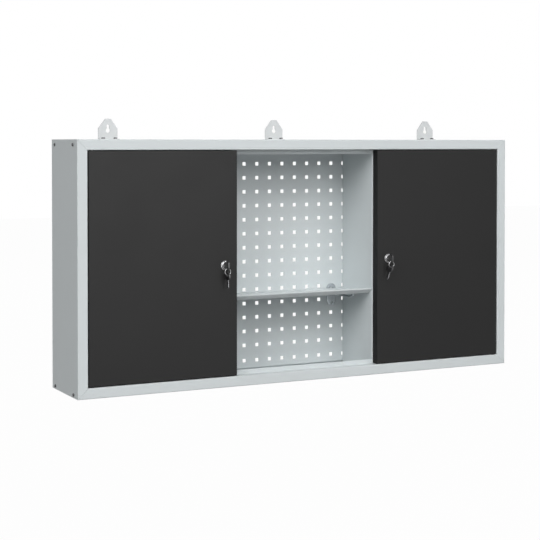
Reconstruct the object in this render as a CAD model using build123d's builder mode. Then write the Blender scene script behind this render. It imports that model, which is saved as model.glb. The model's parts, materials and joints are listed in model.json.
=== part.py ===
"""Wall-hung tool cabinet: two locked side bays with doors, and an open middle bay with a pegboard.

The frame's origin is the centre of the cabinet's underside. +X is to the right as seen from the
front, +Y goes back to the wall and +Z is up. Lengths are in millimetres.
"""

from build123d import *
import math
import os

os.makedirs("parts", exist_ok=True)

# Body
width = 1200.0
depth = 190.0
height = 600.0
sheet = 1.0
bend_radius = 2.0
frame_width = 25.0
frame_depth = 25.0
lip_height = 11.0
rear_flange = 20.0
mitre_gap = 0.4
sheet_gap = 0.3

# Middle bay
bay_width = 398.0
partition_flange = 17.0
partition_setback = 23.0
board_setback = 177.0
board_overlap = 22.0
board_foot = 11.5
board_notch_gap = 1.0
hole_size = 9.2
hole_corner = 0.3
hole_pitch_x = 36.5
hole_pitch_z = 36.0
hole_side_margin = 15.0
hole_top_margin = 40.0
first_row_height = 70.0
foot_row_height = 30.5

# Shelf
shelf_height = 206.5
shelf_lip = 13.0
shelf_lip_rim = 3.5
shelf_lip_flare = 11.0
shelf_side_flange = 12.0
shelf_back_gap = 3.5
shelf_relief = 5.0

# Doors
left_door_reach = 4.5
right_door_reach = -2.5
door_depth = 22.0
door_recess = 0.5
door_side_gap = 1.8
door_end_gap = 1.5
door_flange = 15.0
door_bevel_x = 8.0
door_bevel_y = 4.5
hanging_slot_top = 496.0
hanging_slot_length = 33.0
hanging_slot_width = 7.0
hanging_slot_inset = 0.6

# Pivot hinges
pivot_inset_x = 11.0
pivot_inset_y = 7.0
pin_diameter = 6.0
pin_head_diameter = 9.0
pin_head = 2.0
pin_reach = 12.0
pivot_clearance = 0.05
bush_diameter = 9.0
bush_flange_diameter = 12.0
bush_flange = 1.2
bush_length = 5.0

# Cam locks
lock_height = 296.0
lock_inset = 32.5
lock_flange_diameter = 22.5
lock_flange = 1.8
lock_chamfer = 0.6
lock_boss_diameter = 17.5
lock_boss = 1.6
lock_round = 0.8
lock_body_diameter = 18.0
lock_flats = 16.0
lock_body_reach = 23.5
plug_diameter = 13.0
plug_clearance = 0.05
plug_reach = 1.4
plug_recess = 0.4
nut_across_flats = 24.0
nut_thickness = 4.0
cam_thickness = 2.0
cam_width = 14.0
cam_corner = 2.8
cam_reach = 26.0
cam_square = 8.0
cam_screw_diameter = 4.0
cam_screw_head_diameter = 8.0
cam_screw_head = 2.4
cam_screw_round = 0.8
cam_screw_slot = 1.0
cam_screw_length = 8.0

# Keys and key rings
blade_thickness = 2.0
key_clearance = 0.15
blade_width = 7.0
blade_length = 20.0
blade_cut = 1.2
blade_cuts = 4
blade_cut_pitch = 3.0
first_blade_cut = 6.0
bow_width = 22.0
bow_length = 18.0
bow_thickness = 4.0
bow_corner = 7.5
tang_length = 6.0
bow_gap = 1.2
eye_width = 16.0
eye_height = 5.0
eye_inset = 6.5
ring_radius = 7.5
ring_wire = 1.6
ring_play = 0.35
left_spare_tilt = 0.0
right_spare_tilt = 19.0

# Wall hangers
left_hanger_inset = 143.0
right_hanger_inset = 133.0
hanger_width = 50.5
hanger_height = 51.3
hanger_top_width = 15.0
hanger_shoulder = 27.0
hanger_foot = 20.0
hanger_foot_corner = 4.0
hanger_top_corner = 2.0
hanger_sheet = 2.0
keyhole_diameter = 11.0
keyhole_height = 22.8
keyhole_slot = 6.5
keyhole_top = 36.8
hanger_screw_spread = 31.5
hanger_screw_inset = 12.0

# Screws
hanger_screw_diameter = 5.0
hanger_screw_length = 10.0
hanger_head_diameter = 9.5
hanger_head = 3.2
hanger_nut_flats = 8.0
hanger_nut = 4.0
side_screw_diameter = 4.0
side_screw_length = 7.0
side_head_diameter = 8.0
side_head = 2.6
side_nut_flats = 7.0
side_nut = 3.2
end_flange = 24.0
end_flange_setback = 3.0
side_screw_front = 30.0
side_screw_back = 25.0
side_screw_drop = 12.5
side_screw_rise = 7.5
screw_clearance = 0.2

# Pegboard hook
hook_column = 4
hook_row = 4
hook_plate_width = 26.5
hook_plate_height = 58.5
hook_plate = 2.0
hook_overhang = 5.5
hook_wire = 5.0
hook_reach = 116.0
hook_tip = 19.0
hook_tip_rise = 5.9
hook_arm_drop = 20.2
hook_window_width = 8.0
hook_window_height = 7.0
tongue_width = 6.0
tongue_height = 3.0
tongue_drop = 2.6
tongue_thickness = 2.0
hook_gap = 0.25

# Places worked out from the sizes above
front = -depth / 2
back = depth / 2
half_width = width / 2
half_bay = bay_width / 2
half_sheet = sheet / 2
middle_bend = bend_radius - half_sheet
door_front = front + door_recess
door_back = door_front + door_depth
door_bottom = frame_width + door_end_gap
door_height = height - 2 * door_bottom
door_edge = half_width - frame_width - door_side_gap
pivot_x = half_width - frame_width - pivot_inset_x
pivot_y = front + pivot_inset_y
board_face = front + board_setback
board_head = height - bend_radius
half_board = half_bay + board_overlap
hanger_screw_y = back - hanger_screw_inset
hanger_screw_end = height + hanger_sheet - hanger_screw_length
cam_front = door_front + lock_body_reach + plug_reach
lock_face = door_front - lock_flange - lock_boss
shoulder = lock_face - bow_gap
eye_y = shoulder - bow_length + eye_inset
eye_foot = lock_height - eye_width / 2 + ring_wire / 2 + ring_play
ring_height = eye_foot - ring_radius
hook_x = hole_pitch_x * (hook_column + 0.5)
hook_hole_height = first_row_height + hook_row * hole_pitch_z
sides = (("left", -1), ("right", 1))


def save(part, name):
    """Label a finished piece and write it to its own file."""
    part.label = name
    export_step(part, f"parts/{name}.step")


def fold(*middle_line):
    """Section of a folded sheet along its middle line, added to the open sketch."""
    with BuildLine() as run:
        FilletPolyline(*middle_line, radius=middle_bend)
    trace(run.line, line_width=sheet)


def box_cut(low, high):
    """Cut a box between two corners out of the open part."""
    size = [b - a for a, b in zip(low, high)]
    middle = tuple((a + b) / 2 for a, b in zip(low, high))
    with Locations(middle):
        Box(*size, mode=Mode.SUBTRACT)


def zone_solids(folded, *zones):
    """Solids of a folded sheet, cut at its bends: one nearly flat run for each zone it crosses."""
    runs = []
    for low, high in zones:
        size = [b - a for a, b in zip(low, high)]
        middle = tuple((a + b) / 2 for a, b in zip(low, high))
        with BuildPart() as zone:
            add(folded)
            with Locations(middle):
                Box(*size, mode=Mode.INTERSECT)
        runs += zone.part.solids()
    return runs


def mitre_cut(side, up, across):
    """Cut off the front zone of a corner, on one side of the frame's diagonal seam."""
    run = frame_width + lip_height + sheet
    shift = mitre_gap / math.sqrt(2)
    corner_z = 0 if up > 0 else height
    turn = -shift if across else shift
    outer = (side * (half_width + sheet), corner_z + up * (turn - sheet))
    inner = (side * (half_width - run), corner_z + up * (run + turn))
    if across:
        third = (side * (half_width + sheet), corner_z + up * (run + turn))
    else:
        third = (side * (half_width - run), corner_z + up * (turn - sheet))
    with BuildSketch(Plane.XZ.offset(-front + sheet)) as wedge:
        with BuildLine():
            Polyline(outer, inner, third, close=True)
        make_face()
    extrude(wedge.sketch, amount=-(frame_depth + sheet), mode=Mode.SUBTRACT)


# Top and bottom panels: web, front face, return, stop lip, rear flange and two end flanges
def cross_panel(corner_z, up):
    """The folded sheet of a top or bottom panel, without its end flanges."""
    level = corner_z + up * half_sheet
    inner_level = corner_z + up * (frame_width - half_sheet)
    stop_y = front + frame_depth - half_sheet
    with BuildPart() as panel:
        with BuildSketch(Plane.YZ.offset(-half_width)):
            fold(
                (back - half_sheet, corner_z + up * rear_flange),
                (back - half_sheet, level),
                (front + half_sheet, level),
                (front + half_sheet, inner_level),
                (stop_y, inner_level),
                (stop_y, corner_z + up * (frame_width + lip_height)),
            )
        extrude(amount=width)
        for side in (-1, 1):
            mitre_cut(side, up, across=True)
            behind = sorted((side * (half_width + sheet), side * (half_width - sheet)))
            tall = sorted((corner_z - up * sheet, corner_z + up * rear_flange * 2))
            box_cut((behind[0], front + frame_depth, tall[0]), (behind[1], back + sheet, tall[1]))
    return panel.part


def end_flanges(corner_z, up, screw_rise, end_height):
    """The two end flanges of a top or bottom panel, against its web and inside the side panels."""
    flanges = []
    low_y = front + frame_depth + half_sheet
    high_y = back - end_flange_setback
    heights = sorted((corner_z + up * sheet, corner_z + up * end_height))
    for side in (-1, 1):
        with BuildPart() as flange:
            with BuildSketch(Plane.YZ.offset(side * (half_width - sheet))):
                with Locations(((low_y + high_y) / 2, sum(heights) / 2)):
                    Rectangle(high_y - low_y, heights[1] - heights[0])
                with Locations(*screw_places(corner_z + up * screw_rise)):
                    Circle(side_screw_diameter / 2 + screw_clearance, mode=Mode.SUBTRACT)
            extrude(amount=-side * sheet)
        flanges += flange.part.solids()
    return flanges


def cross_zones(corner_z, up):
    """Zones of a top or bottom panel: front rail, stop lip, web and rear flange."""
    outer = corner_z - up * sheet
    rail = corner_z + up * frame_width
    deep = corner_z + up * 2 * frame_width
    half = half_width + sheet
    stop = front + frame_depth
    spans = (
        (front - sheet, stop, outer, rail),
        (front - sheet, stop, rail, deep),
        (stop, back - sheet, outer, deep),
        (back - sheet, back + sheet, outer, deep),
    )
    zones = []
    for near, far, one_level, other_level in spans:
        levels = sorted((one_level, other_level))
        zones.append(((-half, near, levels[0]), (half, far, levels[1])))
    return zones


def screw_places(level):
    """Two side screws at one height, in the plane of a side panel."""
    return ((front + side_screw_front, level), (back - side_screw_back, level))


with BuildPart() as bottom_panel:
    add(cross_panel(0, 1))
    with Locations(*[(side * pivot_x, pivot_y, frame_width) for _, side in sides]):
        Cylinder(pin_diameter / 2, 4 * sheet, mode=Mode.SUBTRACT)
bottom_solids = zone_solids(bottom_panel.part, *cross_zones(0, 1))
bottom_solids += end_flanges(0, 1, side_screw_rise, rear_flange)
save(Compound(children=bottom_solids), "bottom_panel")

hanger_xs = (
    ("left", left_hanger_inset - half_width),
    ("centre", 0.0),
    ("right", half_width - right_hanger_inset),
)
hanger_screw_xs = [x + s * hanger_screw_spread / 2 for _, x in hanger_xs for s in (-1, 1)]
with BuildPart() as top_panel:
    add(cross_panel(height, -1))
    with Locations(*[(side * pivot_x, pivot_y, height - frame_width) for _, side in sides]):
        Cylinder(pin_diameter / 2, 4 * sheet, mode=Mode.SUBTRACT)
    with Locations(*[(x, hanger_screw_y, height) for x in hanger_screw_xs]):
        Cylinder(hanger_screw_diameter / 2 + screw_clearance, 4 * sheet, mode=Mode.SUBTRACT)
top_solids = zone_solids(top_panel.part, *cross_zones(height, -1))
top_solids += end_flanges(height, -1, side_screw_drop, end_flange)
save(Compound(children=top_solids), "top_panel")

# Side panels: web, front face and return, mitred into the frame, and a rear flange
for name, side in sides:
    web_x = side * (half_width - half_sheet)
    return_x = side * (half_width - frame_width + half_sheet)
    with BuildPart() as side_panel:
        with BuildSketch(Plane.XY):
            fold(
                (side * (half_width - rear_flange), back - half_sheet),
                (web_x, back - half_sheet),
                (web_x, front + half_sheet),
                (return_x, front + half_sheet),
                (return_x, front + frame_depth),
            )
        extrude(amount=height)
        mitre_cut(side, 1, across=False)
        mitre_cut(side, -1, across=False)
        inside = sorted((side * (half_width - sheet), side * (half_width - rear_flange - sheet)))
        foot_zone = (-sheet, rear_flange + sheet_gap)
        head_zone = (height - rear_flange - sheet_gap, height + sheet)
        for low, high in (foot_zone, head_zone):
            box_cut((inside[0], back - 2 * sheet, low), (inside[1], back + sheet, high))
        holes = screw_places(side_screw_rise) + screw_places(height - side_screw_drop)
        with BuildSketch(Plane.YZ.offset(side * (half_width + sheet))):
            with Locations(*holes):
                Circle(side_screw_diameter / 2 + screw_clearance)
        extrude(amount=-side * 3 * sheet, mode=Mode.SUBTRACT)
    save(side_panel.part, f"{name}_side_panel")

# Pegboard: a shallow pan with square holes, its rims turned back to the rear flanges
hole_rows = int((board_head - hole_top_margin - first_row_height) / hole_pitch_z) + 1
hole_columns = int(2 * (half_board - hole_side_margin) / hole_pitch_x) + 1
board_rows = [first_row_height + row * hole_pitch_z for row in range(hole_rows)] + [foot_row_height]
board_columns = [hole_pitch_x * (column - (hole_columns - 1) / 2) for column in range(hole_columns)]
notch_half = hanger_screw_spread / 2 + hanger_nut_flats
with BuildPart() as pegboard_panel:
    with BuildSketch(Plane.XZ.offset(-board_face)):
        with Locations((0, (board_foot + board_head) / 2)):
            Rectangle(2 * half_board, board_head - board_foot)
    extrude(amount=-(depth - board_setback - sheet))
    rear_faces = pegboard_panel.faces().sort_by(Axis.Y)[-1]
    offset(amount=-sheet, openings=rear_faces)
    fillet(pegboard_panel.edges().filter_by(Axis.Z).group_by(Axis.Y)[0], radius=half_sheet)
    with BuildSketch(Plane.XZ.offset(-board_face)):
        with Locations(*[(x, z) for x in board_columns for z in board_rows]):
            RectangleRounded(hole_size, hole_size, hole_corner)
    extrude(amount=-2 * sheet, mode=Mode.SUBTRACT)
    box_cut(
        (-notch_half, board_face - sheet, hanger_screw_end - board_notch_gap),
        (notch_half, back, height),
    )
save(pegboard_panel.part, "pegboard_panel")

# Plain back panels of the two side bays, against the rear flanges
for name, side in sides:
    edges = sorted((side * (half_width - bend_radius), side * (half_board + sheet_gap)))
    with BuildPart() as back_panel:
        with BuildSketch(Plane.XZ.offset(-(back - 2 * sheet))):
            with Locations((sum(edges) / 2, height / 2)):
                Rectangle(edges[1] - edges[0], height - 2 * bend_radius)
        extrude(amount=-sheet)
    save(back_panel.part, f"{name}_back_panel")

# Partitions: front flange behind the door's free edge, web beside the bay, rear flange on the board
for name, side in sides:
    web_x = side * (half_bay + half_sheet)
    flange_x = side * (half_bay + partition_flange)
    outer_x = side * (half_bay + partition_flange + sheet)
    lip_back = front + frame_depth + sheet_gap
    with BuildPart() as partition:
        with BuildSketch(Plane.XY.offset(sheet)):
            fold(
                (flange_x, front + partition_setback + half_sheet),
                (web_x, front + partition_setback + half_sheet),
                (web_x, board_face - half_sheet),
                (flange_x, board_face - half_sheet),
            )
        extrude(amount=height - 2 * sheet)
        span = sorted((side * (half_bay - sheet), outer_x))
        for edge, up in ((0, 1), (height, -1)):
            lip_end = edge + up * (frame_width + lip_height + sheet_gap)
            rail_end = edge + up * (frame_width + bend_radius)
            lip_span = sorted((edge, lip_end))
            rail_span = sorted((edge, rail_end))
            lip_front = front + frame_depth - sheet
            box_cut((span[0], lip_front, lip_span[0]), (span[1], lip_back, lip_span[1]))
            box_cut((span[0], front, rail_span[0]), (span[1], lip_back, rail_span[1]))
    web_span = sorted((span[0] if side > 0 else span[1], side * (half_bay + sheet)))
    flange_span = sorted((side * (half_bay + sheet), outer_x + side * sheet))
    zones = [((low, front, 0), (high, back, height)) for low, high in (web_span, flange_span)]
    save(Compound(children=zone_solids(partition.part, *zones)), f"{name}_partition")

# Middle shelf: floor, front lip flared outwards with an upright rim, and a down-turned flange at each end
shelf_half = half_bay - sheet_gap
shelf_front = front + frame_depth - sheet
shelf_back = board_face - shelf_back_gap
shelf_level = shelf_height - half_sheet
lip_y = shelf_front + half_sheet
lip_foot = lip_y + shelf_lip_flare
flange_start = lip_foot + shelf_relief
with BuildPart() as middle_shelf:
    with BuildSketch(Plane.YZ.offset(-shelf_half)):
        fold(
            (shelf_back, shelf_level),
            (lip_foot, shelf_level),
            (lip_y, shelf_height + shelf_lip - shelf_lip_rim),
            (lip_y, shelf_height + shelf_lip),
        )
    extrude(amount=2 * shelf_half)
    for side in (-1, 1):
        with BuildSketch(Plane.YZ.offset(side * shelf_half)):
            with BuildLine():
                Polyline(
                    (flange_start, shelf_level),
                    (shelf_back, shelf_level),
                    (shelf_back, shelf_height - shelf_side_flange),
                    (flange_start, shelf_height - shelf_side_flange),
                    close=True,
                )
            make_face()
        extrude(amount=-side * sheet)
save(middle_shelf.part, "middle_shelf")


# Doors: a folded pan, open at the back, with rounded front edges and a bevelled hinge side
def door_outline(side, inner_edge):
    """Plan section of a door, over its outer faces."""
    with BuildLine() as outline:
        Polyline(
            (side * inner_edge, door_front),
            (side * door_edge, door_front),
            (side * door_edge, door_back - door_bevel_y),
            (side * (door_edge - door_bevel_x), door_back),
            (side * inner_edge, door_back),
            close=True,
        )
    make_face(outline.edges())


def door_parts(name, side, reach):
    inner_edge = half_bay - reach
    lock_x = side * (inner_edge + lock_inset)
    lock_place = (lock_x, lock_height)
    with BuildPart() as door:
        with BuildSketch(Plane.XY.offset(door_bottom)):
            door_outline(side, inner_edge)
        extrude(amount=door_height)
        nose_edges = door.faces().sort_by(Axis.Y)[0].edges()
        fillet(nose_edges, radius=bend_radius)
        with BuildSketch(Plane.XY.offset(door_bottom + sheet)):
            door_outline(side, inner_edge)
            offset(amount=-sheet, kind=Kind.INTERSECTION, mode=Mode.REPLACE)
        extrude(amount=door_height - 2 * sheet, mode=Mode.SUBTRACT)
        window = sorted((side * (inner_edge + door_flange), side * (door_edge - door_flange)))
        box_cut(
            (window[0], door_back - 2 * sheet, door_bottom + door_flange),
            (window[1], door_back + sheet, door_bottom + door_height - door_flange),
        )
        wall = sorted((side * (door_edge + sheet), side * (door_edge - 2 * sheet)))
        slot_front = door_front + hanging_slot_inset
        box_cut(
            (wall[0], slot_front, hanging_slot_top - hanging_slot_length),
            (wall[1], slot_front + hanging_slot_width, hanging_slot_top),
        )
        with Locations((side * pivot_x, pivot_y, height / 2)):
            Cylinder(bush_diameter / 2, height, mode=Mode.SUBTRACT)
        with BuildSketch(Plane.XZ.offset(-(door_front - sheet))):
            with Locations(lock_place):
                Circle(lock_body_diameter / 2)
                Rectangle(lock_flats, lock_body_diameter, mode=Mode.INTERSECT)
        extrude(amount=-4 * sheet, mode=Mode.SUBTRACT)
    save(door.part, f"{name}_door")
    return lock_x


def hinge_parts(name, side):
    """Fixed pivot pins in the frame's returns, and flanged bushes in the door's end walls."""
    with BuildPart() as pins:
        for level, up in ((frame_width, 1), (height - frame_width, -1)):
            reach = sheet + door_end_gap + pin_reach
            head_level = level - up * (sheet + pin_head)
            with BuildSketch(Plane.XY.offset(head_level)):
                with Locations((side * pivot_x, pivot_y)):
                    Circle(pin_head_diameter / 2)
            extrude(amount=up * pin_head)
            with BuildSketch(Plane.XY.offset(level - up * sheet)):
                with Locations((side * pivot_x, pivot_y)):
                    Circle(pin_diameter / 2)
            extrude(amount=up * reach)
    save(pins.part, f"{name}_hinge_pins")

    with BuildPart() as bushes:
        for level, up in ((door_bottom, 1), (height - door_bottom, -1)):
            with BuildSketch(Plane.XY.offset(level - up * bush_flange)):
                with Locations((side * pivot_x, pivot_y)):
                    Circle(bush_flange_diameter / 2)
                    Circle(pin_diameter / 2 + pivot_clearance, mode=Mode.SUBTRACT)
            extrude(amount=up * bush_flange)
            with BuildSketch(Plane.XY.offset(level)):
                with Locations((side * pivot_x, pivot_y)):
                    Circle(bush_diameter / 2)
                    Circle(pin_diameter / 2 + pivot_clearance, mode=Mode.SUBTRACT)
            extrude(amount=up * bush_length)
    save(bushes.part, f"{name}_hinge_bushes")


def lock_parts(name, lock_x):
    """Cam lock: body, nut, turning plug, cam and the cam's screw, on an axis along Y."""
    place = (lock_x, lock_height)
    bore = plug_diameter / 2 + plug_clearance

    with BuildPart() as body:
        with BuildSketch(Plane.XZ.offset(-door_front)):
            with Locations(place):
                Circle(lock_flange_diameter / 2)
        extrude(amount=lock_flange)
        chamfer(body.edges().group_by(Axis.Y)[0], length=lock_chamfer)
        with BuildSketch(Plane.XZ.offset(-door_front + lock_flange)):
            with Locations(place):
                Circle(lock_boss_diameter / 2)
        extrude(amount=lock_boss)
        fillet(body.edges().group_by(Axis.Y)[0], radius=lock_round)
        with BuildSketch(Plane.XZ.offset(-door_front)):
            with Locations(place):
                Circle(lock_body_diameter / 2)
                Rectangle(lock_flats, lock_body_diameter, mode=Mode.INTERSECT)
        extrude(amount=-lock_body_reach)
        with BuildSketch(Plane.XZ.offset(-(lock_face - sheet))):
            with Locations(place):
                Circle(bore)
        extrude(amount=-(door_front + lock_body_reach - lock_face + 2 * sheet), mode=Mode.SUBTRACT)
    save(body.part, f"{name}_lock_body")

    with BuildPart() as nut:
        with BuildSketch(Plane.XZ.offset(-(door_front + sheet))):
            with Locations(place):
                RegularPolygon(nut_across_flats / 2, 6, major_radius=False)
                Circle(lock_body_diameter / 2, mode=Mode.SUBTRACT)
        extrude(amount=-nut_thickness)
    save(nut.part, f"{name}_lock_nut")

    with BuildPart() as plug:
        with BuildSketch(Plane.XZ.offset(-(lock_face + plug_recess))):
            with Locations(place):
                Circle(plug_diameter / 2)
        extrude(amount=-(cam_front - lock_face - plug_recess))
        with BuildSketch(Plane.XZ.offset(-cam_front)):
            with Locations(place):
                Rectangle(cam_square, cam_square)
        extrude(amount=-cam_thickness)
        keyway = blade_length - bow_gap + key_clearance
        with BuildSketch(Plane.XZ.offset(-(lock_face - sheet))):
            with Locations(place):
                Rectangle(blade_thickness + 2 * key_clearance, blade_width + 2 * key_clearance)
        extrude(amount=-(keyway + sheet), mode=Mode.SUBTRACT)
        with BuildSketch(Plane.XZ.offset(-(cam_front + cam_thickness - cam_screw_length))):
            with Locations(place):
                Circle(cam_screw_diameter / 2)
        extrude(amount=-cam_screw_length, mode=Mode.SUBTRACT)
    save(plug.part, f"{name}_lock_plug")

    with BuildPart() as cam:
        with BuildSketch(Plane.XZ.offset(-cam_front)):
            with Locations((lock_x, lock_height - cam_reach / 2)):
                tongue = Rectangle(cam_width, cam_reach)
            fillet(tongue.vertices().group_by(Axis.Y)[0], radius=cam_corner)
            with Locations(place):
                Circle(cam_width / 2)
                Rectangle(cam_square, cam_square, mode=Mode.SUBTRACT)
        extrude(amount=-cam_thickness)
    save(cam.part, f"{name}_lock_cam")

    cam_back = cam_front + cam_thickness
    with BuildPart() as cam_screw:
        with BuildSketch(Plane.XZ.offset(-cam_back)):
            with Locations(place):
                Circle(cam_screw_head_diameter / 2)
        extrude(amount=-cam_screw_head)
        fillet(cam_screw.edges().group_by(Axis.Y)[-1], radius=cam_screw_round)
        with BuildSketch(Plane.XZ.offset(-(cam_back + cam_screw_head))):
            with Locations(place):
                Rectangle(cam_screw_head_diameter, cam_screw_slot)
        extrude(amount=cam_screw_head / 2, mode=Mode.SUBTRACT)
        with BuildSketch(Plane.XZ.offset(-cam_back)):
            with Locations(place):
                Circle(cam_screw_diameter / 2)
        extrude(amount=cam_screw_length)
    save(cam_screw.part, f"{name}_cam_screw")


def key_pair(plane, name):
    """A steel blade along the plane's x axis from the shoulder at its origin, and its moulded bow."""
    with BuildPart() as blade:
        with BuildSketch(plane):
            with BuildLine():
                Polyline(
                    (-tang_length, blade_width / 2),
                    (blade_length - blade_width / 2, blade_width / 2),
                    (blade_length, 0),
                    (blade_length - blade_width / 2, -blade_width / 2),
                    (-tang_length, -blade_width / 2),
                    close=True,
                )
            make_face()
            cuts = [first_blade_cut + number * blade_cut_pitch for number in range(blade_cuts)]
            with Locations(*[(place, blade_width / 2) for place in cuts]):
                Rectangle(blade_cut, 2 * blade_cut, rotation=45, mode=Mode.SUBTRACT)
        extrude(amount=blade_thickness / 2, both=True)
    save(blade.part, f"{name}_blade")

    with BuildPart() as bow:
        with BuildSketch(plane):
            with Locations((-bow_length / 2, 0)):
                RectangleRounded(bow_length, bow_width, bow_corner)
            with Locations((-bow_length + eye_inset, 0)):
                SlotOverall(eye_width, eye_height, rotation=90, mode=Mode.SUBTRACT)
        extrude(amount=bow_thickness / 2, both=True)
        with BuildSketch(plane):
            with Locations((-tang_length / 2, 0)):
                Rectangle(tang_length, blade_width)
        extrude(amount=blade_thickness / 2, both=True, mode=Mode.SUBTRACT)
    save(bow.part, f"{name}_bow")


def key_parts(name, lock_x, tilt):
    """The key in the lock, the ring through its eye, and the spare key on the ring."""
    inserted = Plane(origin=(lock_x, shoulder, lock_height), x_dir=(0, 1, 0), z_dir=(1, 0, 0))
    key_pair(inserted, f"{name}_key")

    with BuildPart() as key_ring:
        with BuildSketch(Plane.YZ.offset(lock_x)):
            with Locations((eye_y, eye_foot)):
                Circle(ring_wire / 2)
        ring_axis = Axis((lock_x, eye_y, ring_height), (0, 1, 0))
        revolve(axis=ring_axis, revolution_arc=360)
    save(key_ring.part, f"{name}_key_ring")

    hang = Vector(-math.sin(math.radians(tilt)), 0, -math.cos(math.radians(tilt)))
    eye_edge = eye_inset - eye_height / 2 + ring_wire / 2 + ring_play
    shoulder_reach = ring_radius - eye_edge + bow_length
    ring_centre = Vector(lock_x, eye_y, ring_height)
    spare_shoulder = ring_centre + hang * shoulder_reach
    spare = Plane(origin=spare_shoulder, x_dir=hang, z_dir=hang.cross(Vector(0, 1, 0)))
    key_pair(spare, f"{name}_spare")


door_reaches = {"left": left_door_reach, "right": right_door_reach}
spare_tilts = {"left": left_spare_tilt, "right": right_spare_tilt}
for name, side in sides:
    lock_x = door_parts(name, side, door_reaches[name])
    hinge_parts(name, side)
    lock_parts(name, lock_x)
    key_parts(name, lock_x, spare_tilts[name])

# Wall hangers: an L of thicker sheet with a keyhole, screwed down on the top panel
hanger_back = back - hanger_sheet
slot_length = keyhole_top - keyhole_height
for name, hanger_x in hanger_xs:
    own_screw_xs = [hanger_x + s * hanger_screw_spread / 2 for s in (-1, 1)]
    with BuildPart() as hanger:
        with BuildSketch(Plane.XZ.offset(-hanger_back)):
            with BuildLine():
                Polyline(
                    (hanger_x - hanger_width / 2, height),
                    (hanger_x - hanger_width / 2, height + hanger_shoulder),
                    (hanger_x - hanger_top_width / 2, height + hanger_height),
                    (hanger_x + hanger_top_width / 2, height + hanger_height),
                    (hanger_x + hanger_width / 2, height + hanger_shoulder),
                    (hanger_x + hanger_width / 2, height),
                    close=True,
                )
            make_face()
        extrude(amount=-hanger_sheet)
        fillet(hanger.edges().filter_by(Axis.Y).group_by(Axis.Z)[-1], radius=hanger_top_corner)
        with BuildSketch(Plane.XY.offset(height)):
            with Locations((hanger_x, back - hanger_foot / 2)):
                Rectangle(hanger_width, hanger_foot)
        extrude(amount=hanger_sheet)
        fillet(hanger.edges().filter_by(Axis.Z).group_by(Axis.Y)[0], radius=hanger_foot_corner)
        outer_bend = hanger.edges().filter_by(Axis.X).group_by(Axis.Y)[-1].sort_by(Axis.Z)[0]
        fillet(outer_bend, radius=bend_radius)
        with BuildSketch(Plane.XZ.offset(-(hanger_back - hanger_sheet))):
            with Locations((hanger_x, height + keyhole_height)):
                Circle(keyhole_diameter / 2)
            with Locations((hanger_x, height + keyhole_height + (slot_length - keyhole_slot / 2) / 2)):
                Rectangle(keyhole_slot, slot_length - keyhole_slot / 2)
            with Locations((hanger_x, height + keyhole_top - keyhole_slot / 2)):
                Circle(keyhole_slot / 2)
        extrude(amount=-3 * hanger_sheet, mode=Mode.SUBTRACT)
        with Locations(*[(x, hanger_screw_y, height) for x in own_screw_xs]):
            Cylinder(hanger_screw_diameter / 2 + screw_clearance, 4 * hanger_sheet, mode=Mode.SUBTRACT)
    save(hanger.part, f"{name}_hanger")


def screw_stack(plane, places, head, head_diameter, diameter, length):
    """Pan-head screws on one plane, heads out along its normal, with a cross recess."""
    with BuildPart() as screws:
        with BuildSketch(plane):
            with Locations(*places):
                Circle(head_diameter / 2)
        extrude(amount=head)
        crowns = screws.faces().sort_by(Axis(plane.origin, plane.z_dir))[-len(places):]
        fillet([edge for crown in crowns for edge in crown.edges()], radius=head / 2)
        with BuildSketch(plane.offset(head)):
            with Locations(*places):
                Rectangle(head_diameter / 2, head_diameter / 8)
                Rectangle(head_diameter / 8, head_diameter / 2)
        extrude(amount=-head / 2, mode=Mode.SUBTRACT)
        with BuildSketch(plane):
            with Locations(*places):
                Circle(diameter / 2)
        extrude(amount=-length)
    return screws.part


def nut_stack(plane, places, thickness, flats, diameter):
    """Hexagon nuts under one plane, with their holes as wide as the screws."""
    with BuildPart() as nuts:
        with BuildSketch(plane):
            with Locations(*places):
                RegularPolygon(flats / 2, 6, major_radius=False)
                Circle(diameter / 2, mode=Mode.SUBTRACT)
        extrude(amount=-thickness)
    return nuts.part


# Hanger screws and nuts
screw_plane = Plane.XY.offset(height + hanger_sheet)
nut_plane = Plane.XY.offset(height - sheet)
hanger_places = [(x, hanger_screw_y) for x in hanger_screw_xs]
hanger_screws = screw_stack(
    screw_plane,
    hanger_places,
    hanger_head,
    hanger_head_diameter,
    hanger_screw_diameter,
    hanger_screw_length,
)
hanger_nuts = nut_stack(nut_plane, hanger_places, hanger_nut, hanger_nut_flats, hanger_screw_diameter)
save(hanger_screws, "hanger_screws")
save(hanger_nuts, "hanger_nuts")

# Side screws and nuts, through a side panel's web and an end flange
side_places = screw_places(side_screw_rise) + screw_places(height - side_screw_drop)
side_screws = []
side_nuts = []
for name, side in sides:
    face = Plane(origin=(side * half_width, 0, 0), x_dir=(0, side, 0), z_dir=(side, 0, 0))
    spots = [(side * y, z) for y, z in side_places]
    side_screws += screw_stack(
        face, spots, side_head, side_head_diameter, side_screw_diameter, side_screw_length
    ).solids()
    inner = face.offset(-2 * sheet)
    side_nuts += nut_stack(inner, spots, side_nut, side_nut_flats, side_screw_diameter).solids()
save(Compound(children=side_screws), "side_screws")
save(Compound(children=side_nuts), "side_nuts")

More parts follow.
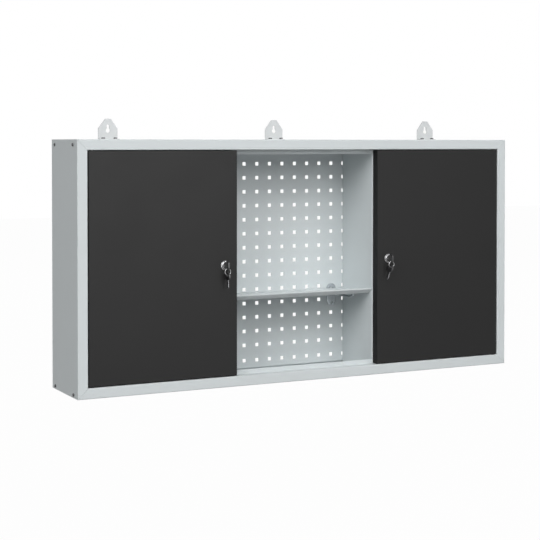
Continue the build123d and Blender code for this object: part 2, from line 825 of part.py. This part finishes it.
# Pegboard hook: a slotted plate with two tongues and a wire arm that turns up at its tip
plate_face = board_face - hook_gap
plate_top = hook_hole_height + hook_overhang
plate_middle = plate_top - hook_plate_height / 2
arm_height = hook_hole_height - hook_arm_drop
with BuildPart() as pegboard_hook:
    with BuildSketch(Plane.XZ.offset(-plate_face)):
        with Locations((hook_x, plate_middle)):
            SlotOverall(hook_plate_height, hook_plate_width, rotation=90)
        with Locations((hook_x, plate_top - hook_plate_width / 2)):
            Rectangle(hook_window_width, hook_window_height, mode=Mode.SUBTRACT)
        with Locations((hook_x, plate_top - hook_plate_height + hook_window_height)):
            SlotOverall(hook_window_width, hook_window_height, mode=Mode.SUBTRACT)
    extrude(amount=hook_plate)
    for level in (hook_hole_height, hook_hole_height - hole_pitch_z):
        seat = level - hole_size / 2 + hook_gap
        tongue_back = board_face + sheet + hook_gap
        with BuildSketch(Plane.YZ.offset(hook_x - tongue_width / 2)):
            with BuildLine():
                Polyline(
                    (plate_face - hook_plate / 2, seat),
                    (tongue_back, seat),
                    (tongue_back, seat - tongue_drop),
                    (tongue_back + tongue_thickness, seat - tongue_drop),
                    (tongue_back + tongue_thickness, seat + tongue_height),
                    (plate_face - hook_plate / 2, seat + tongue_height),
                    close=True,
                )
            make_face()
        extrude(amount=tongue_width)
    with BuildLine() as arm:
        FilletPolyline(
            (hook_x, plate_face - hook_plate / 2, arm_height),
            (hook_x, plate_face - hook_reach + hook_tip, arm_height),
            (hook_x, plate_face - hook_reach, arm_height + hook_tip_rise),
            radius=hook_wire,
        )
    with BuildSketch(Plane.XZ.offset(-(plate_face - hook_plate / 2))):
        with Locations((hook_x, arm_height)):
            Circle(hook_wire / 2)
    sweep(path=arm.line)
save(pegboard_hook.part, "pegboard_hook")
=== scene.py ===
"""Finish, light and camera for the wall tool cabinet. Lengths are in metres."""

import json
import math

import bpy
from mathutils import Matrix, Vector

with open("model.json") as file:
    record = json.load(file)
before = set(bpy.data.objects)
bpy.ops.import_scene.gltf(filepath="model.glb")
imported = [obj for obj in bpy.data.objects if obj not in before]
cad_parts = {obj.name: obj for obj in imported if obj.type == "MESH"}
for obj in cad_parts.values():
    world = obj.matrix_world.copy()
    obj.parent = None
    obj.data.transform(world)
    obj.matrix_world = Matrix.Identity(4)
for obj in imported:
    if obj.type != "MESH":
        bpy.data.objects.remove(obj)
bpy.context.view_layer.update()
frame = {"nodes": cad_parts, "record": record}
nodes = frame["nodes"]
bpy.ops.object.select_all(action="DESELECT")

MM = 0.001

# Camera of the photograph: place, level turn, downward tilt, lens and vertical shift
CAMERA_PLACE = (-1.6263, -3.1168, 0.5900)
CAMERA_YAW = math.radians(-26.71)
CAMERA_TILT = math.radians(90 - 1.24)
LENS = 92.03
SENSOR_WIDTH = 36.0
SHIFT_Y = -0.1787
CLIP_NEAR = 0.05
CLIP_FAR = 100.0

# Noise of each finish: scale, detail and roughness
COAT_CLOUD = (9.0, 3.0, 0.5)
COAT_PEEL = (700.0, 2.0, 0.45)
METAL_CLOUD = (160.0, 4.0, 0.6)
METAL_POLISH = (520.0, 3.0, 0.6)
METAL_GRAIN = (1800.0, 3.0, 0.6)
PLASTIC_CLOUD = (120.0, 3.0, 0.5)
PLASTIC_GRAIN = (2600.0, 2.0, 0.5)

# Noise values between which the tint and the gloss run from one end to the other
NOISE_LOW = 0.3
NOISE_HIGH = 0.7

# How far the colour moves to each side, as a share of it
COAT_SPREAD = 0.012
METAL_SPREAD = 0.06
PLASTIC_SPREAD = 0.08

# How far the roughness moves: added and taken away, or on metal as a share of it
COAT_GLOSS_SWING = 0.03
PLASTIC_GLOSS_SWING = 0.06
METAL_GLOSS_LOW = 0.7
METAL_GLOSS_HIGH = 1.4

# Height of each relief, and the strength of the mouldings' grain
PEEL_HEIGHT = 0.15 * MM
METAL_GRAIN_HEIGHT = 0.05 * MM
PLASTIC_GRAIN_HEIGHT = 0.06 * MM
PLASTIC_GRAIN_STRENGTH = 0.35

COAT_ROUGHNESS = 0.50
MOULDED_BLACK = (0.010, 0.010, 0.011)

# Powder coats by slot: material, colour, specular level and peel strength
COATS = {
    "grey_enamel": ("grey_powder_coat", (0.640, 0.680, 0.690), 0.07, 0.10),
    "hanger_enamel": ("hanger_powder_coat", (0.640, 0.655, 0.660), 0.07, 0.10),
    "black_enamel": ("charcoal_powder_coat", (0.015, 0.015, 0.015), 0.10, 0.12),
}

# Metals by slot: material, colour, roughness and grain strength
METALS = {
    # The screws' near-black colour is painted reflection: it stands for the dark reflections
    # that their zinc heads show.
    "zinc_screw": ("zinc_screw_painted_dark_reflection", (0.07, 0.07, 0.073), 0.16, 0.15),
    "zinc_hook": ("zinc_plated_wire", (0.30, 0.325, 0.34), 0.38, 0.20),
    "dark_steel": ("blackened_pin", (0.020, 0.020, 0.021), 0.45, 0.20),
    "nickel": ("nickel_plated_lock", (0.36, 0.36, 0.365), 0.24, 0.10),
    "key_steel": ("nickel_plated_key", (0.36, 0.36, 0.365), 0.28, 0.12),
    # The spare blades' dark colour is painted shade, for blades that hang edge-on in shade.
    "spare_key_steel": ("spare_key_painted_shade", (0.13, 0.13, 0.135), 0.34, 0.15),
    # The key rings are given a colour darker than the key steel.
    "ring_steel": ("darker_key_ring", (0.26, 0.26, 0.265), 0.36, 0.15),
}

# Mouldings by slot: material, colour and roughness
MOULDINGS = {
    "black_nylon": ("black_nylon_bush", MOULDED_BLACK, 0.50),
    "key_plastic": ("black_key_bow", MOULDED_BLACK, 0.40),
}

# Pieces whose finish differs from the rest of their slot: the hangers' own tone, the spare
# blades whose dark colour is painted shade, and the key rings, darker than the key steel
OWN_FINISHES = {
    "left_hanger": "hanger_enamel",
    "centre_hanger": "hanger_enamel",
    "right_hanger": "hanger_enamel",
    "left_spare_blade": "spare_key_steel",
    "right_spare_blade": "spare_key_steel",
    "left_key_ring": "ring_steel",
    "right_key_ring": "ring_steel",
}

# Softboxes: name, place, width, height, power, and whether only reflections see it
SOFTBOXES = (
    ("front_softbox", (0.0, -6.1, 3.1), 7.2, 3.6, 184.0, False),
    ("high_softbox", (0.0, -4.7, 5.5), 7.2, 4.0, 205.0, False),
    ("left_softbox", (-5.8, -4.0, 4.4), 4.3, 4.3, 282.0, False),
    ("gloss_softbox", (0.6, -6.0, 1.6), 3.6, 2.6, 430.0, True),
    ("rear_softbox", (3.4, 5.6, 3.4), 5.0, 3.2, 190.0, False),
)
LIGHT_AIM = (0.0, 0.0, 0.3)
WORLD_LIGHT = 0.02

# Floor: level, span, share of the real shading that the camera sees, grey and roughness
FLOOR_LEVEL = -0.42
FLOOR_SPAN = 30.0
FLOOR_SHADE = 0.02
FLOOR_GREY = (0.30, 0.30, 0.30, 1)
FLOOR_ROUGHNESS = 0.9
WHITE = (1, 1, 1, 1)


def new_material(name):
    """A node material with one shader, its node tree and that shader."""
    material = bpy.data.materials.new(name)
    material.use_nodes = True
    tree = material.node_tree
    tree.nodes.clear()
    output = tree.nodes.new("ShaderNodeOutputMaterial")
    shader = tree.nodes.new("ShaderNodeBsdfPrincipled")
    tree.links.new(shader.outputs["BSDF"], output.inputs["Surface"])
    return material, tree, shader


def object_noise(tree, scale, detail, roughness):
    """Noise in the piece's own coordinates."""
    place = tree.nodes.new("ShaderNodeTexCoord")
    noise = tree.nodes.new("ShaderNodeTexNoise")
    noise.inputs["Scale"].default_value = scale
    noise.inputs["Detail"].default_value = detail
    noise.inputs["Roughness"].default_value = roughness
    tree.links.new(place.outputs["Object"], noise.inputs["Vector"])
    return noise


def tinted(tree, shader, noise, colour, spread):
    """Let the noise move the base colour a little to each side."""
    ramp = tree.nodes.new("ShaderNodeValToRGB")
    ends = ((NOISE_LOW, 1 - spread), (NOISE_HIGH, 1 + spread))
    for element, (position, share) in zip(ramp.color_ramp.elements, ends):
        element.position = position
        element.color = (*[channel * share for channel in colour], 1)
    tree.links.new(noise.outputs["Fac"], ramp.inputs["Fac"])
    tree.links.new(ramp.outputs["Color"], shader.inputs["Base Color"])


def grained(tree, shader, noise, strength, height):
    """Let the noise stand up as a fine relief."""
    bump = tree.nodes.new("ShaderNodeBump")
    bump.inputs["Strength"].default_value = strength
    bump.inputs["Distance"].default_value = height
    tree.links.new(noise.outputs["Fac"], bump.inputs["Height"])
    tree.links.new(bump.outputs["Normal"], shader.inputs["Normal"])


def varied_gloss(tree, shader, noise, low, high):
    """Let the noise move the roughness between two values."""
    spread = tree.nodes.new("ShaderNodeMapRange")
    spread.inputs["From Min"].default_value = NOISE_LOW
    spread.inputs["From Max"].default_value = NOISE_HIGH
    spread.inputs["To Min"].default_value = low
    spread.inputs["To Max"].default_value = high
    tree.links.new(noise.outputs["Fac"], spread.inputs["Value"])
    tree.links.new(spread.outputs["Result"], shader.inputs["Roughness"])


def powder_coat(name, colour, specular, peel):
    """Baked powder coat: an even colour with a shallow orange-peel relief."""
    material, tree, shader = new_material(name)
    shader.inputs["Specular IOR Level"].default_value = specular
    cloud = object_noise(tree, *COAT_CLOUD)
    tinted(tree, shader, cloud, colour, COAT_SPREAD)
    low = COAT_ROUGHNESS - COAT_GLOSS_SWING
    varied_gloss(tree, shader, cloud, low, COAT_ROUGHNESS + COAT_GLOSS_SWING)
    grained(tree, shader, object_noise(tree, *COAT_PEEL), peel, PEEL_HEIGHT)
    return material


def plated_metal(name, colour, roughness, relief):
    """Plated or blackened steel with faint clouding, uneven polish and a fine grain."""
    material, tree, shader = new_material(name)
    shader.inputs["Metallic"].default_value = 1.0
    tinted(tree, shader, object_noise(tree, *METAL_CLOUD), colour, METAL_SPREAD)
    polish = object_noise(tree, *METAL_POLISH)
    varied_gloss(tree, shader, polish, roughness * METAL_GLOSS_LOW, roughness * METAL_GLOSS_HIGH)
    grained(tree, shader, object_noise(tree, *METAL_GRAIN), relief, METAL_GRAIN_HEIGHT)
    return material


def moulded_plastic(name, colour, roughness):
    """Black moulded plastic with a fine spark-eroded grain."""
    material, tree, shader = new_material(name)
    cloud = object_noise(tree, *PLASTIC_CLOUD)
    tinted(tree, shader, cloud, colour, PLASTIC_SPREAD)
    low = roughness - PLASTIC_GLOSS_SWING
    varied_gloss(tree, shader, cloud, low, roughness + PLASTIC_GLOSS_SWING)
    grain = object_noise(tree, *PLASTIC_GRAIN)
    grained(tree, shader, grain, PLASTIC_GRAIN_STRENGTH, PLASTIC_GRAIN_HEIGHT)
    return material


def dress_nodes():
    """Give each piece of the frame the finish of its slot, or its own."""
    finishes = {slot: powder_coat(*row) for slot, row in COATS.items()}
    finishes.update({slot: plated_metal(*row) for slot, row in METALS.items()})
    finishes.update({slot: moulded_plastic(*row) for slot, row in MOULDINGS.items()})
    for part in frame["record"]["subparts"]:
        node = nodes[part["node"]]
        slot = OWN_FINISHES.get(part["node"], part["material_slot"])
        node.data.materials.clear()
        node.data.materials.append(finishes[slot])


def seen_by(tree, *rays):
    """One for a ray of any of the named kinds, and nought for the others."""
    path = tree.nodes.new("ShaderNodeLightPath")
    seen = path.outputs[rays[0]]
    for ray in rays[1:]:
        either = tree.nodes.new("ShaderNodeMath")
        either.operation = "MAXIMUM"
        tree.links.new(seen, either.inputs[0])
        tree.links.new(path.outputs[ray], either.inputs[1])
        seen = either.outputs[0]
    return seen


def pale_stage_material(name, shade_kept):
    """White to the camera and to reflections, with a little of the real shading kept."""
    material, tree, shader = new_material(name)
    shader.inputs["Base Color"].default_value = FLOOR_GREY
    shader.inputs["Roughness"].default_value = FLOOR_ROUGHNESS
    output = next(node for node in tree.nodes if node.type == "OUTPUT_MATERIAL")
    glow = tree.nodes.new("ShaderNodeEmission")
    kept = tree.nodes.new("ShaderNodeMath")
    kept.operation = "MULTIPLY"
    kept.inputs[1].default_value = 1 - shade_kept
    mix = tree.nodes.new("ShaderNodeMixShader")
    seen = seen_by(tree, "Is Camera Ray", "Is Glossy Ray")
    tree.links.new(seen, kept.inputs[0])
    tree.links.new(kept.outputs[0], mix.inputs["Fac"])
    tree.links.new(shader.outputs["BSDF"], mix.inputs[1])
    tree.links.new(glow.outputs["Emission"], mix.inputs[2])
    tree.links.new(mix.outputs["Shader"], output.inputs["Surface"])
    return material


def studio_floor():
    """A wide pale floor under the cabinet."""
    bpy.ops.mesh.primitive_plane_add(size=FLOOR_SPAN, location=(0, 0, FLOOR_LEVEL))
    floor = bpy.context.object
    floor.name = "studio_floor"
    floor.data.materials.append(pale_stage_material("pale_floor", FLOOR_SHADE))


def studio_world():
    """Surroundings that look white and give very little light."""
    world = bpy.data.worlds.new("studio_world")
    bpy.context.scene.world = world
    world.use_nodes = True
    tree = world.node_tree
    tree.nodes.clear()
    output = tree.nodes.new("ShaderNodeOutputWorld")
    lit = tree.nodes.new("ShaderNodeBackground")
    lit.inputs["Color"].default_value = WHITE
    lit.inputs["Strength"].default_value = WORLD_LIGHT
    shown = tree.nodes.new("ShaderNodeBackground")
    shown.inputs["Color"].default_value = WHITE
    mix = tree.nodes.new("ShaderNodeMixShader")
    seen = seen_by(tree, "Is Camera Ray", "Is Glossy Ray", "Is Transmission Ray")
    tree.links.new(seen, mix.inputs["Fac"])
    tree.links.new(lit.outputs["Background"], mix.inputs[1])
    tree.links.new(shown.outputs["Background"], mix.inputs[2])
    tree.links.new(mix.outputs["Shader"], output.inputs["Surface"])


def studio_lamps():
    """Soft lamps in front, above, to the left and behind, all aimed at the cabinet."""
    for name, place, width, height, power, gloss_only in SOFTBOXES:
        bpy.ops.object.light_add(type="AREA", location=place)
        light = bpy.context.object
        light.name = name
        light.data.shape = "RECTANGLE"
        light.data.size = width
        light.data.size_y = height
        light.data.energy = power
        light.visible_diffuse = not gloss_only
        aim = Vector(LIGHT_AIM) - Vector(place)
        light.rotation_euler = aim.to_track_quat("-Z", "Y").to_euler()


def photo_camera():
    """The photograph's camera."""
    data = bpy.data.cameras.new("photo_camera")
    camera = bpy.data.objects.new("photo_camera", data)
    bpy.context.scene.collection.objects.link(camera)
    camera.location = CAMERA_PLACE
    camera.rotation_euler = (CAMERA_TILT, 0, CAMERA_YAW)
    data.lens = LENS
    data.sensor_width = SENSOR_WIDTH
    data.shift_y = SHIFT_Y
    data.clip_start = CLIP_NEAR
    data.clip_end = CLIP_FAR
    bpy.context.scene.camera = camera


dress_nodes()
studio_floor()
studio_world()
studio_lamps()
photo_camera()
bpy.context.scene.view_settings.view_transform = "Standard"
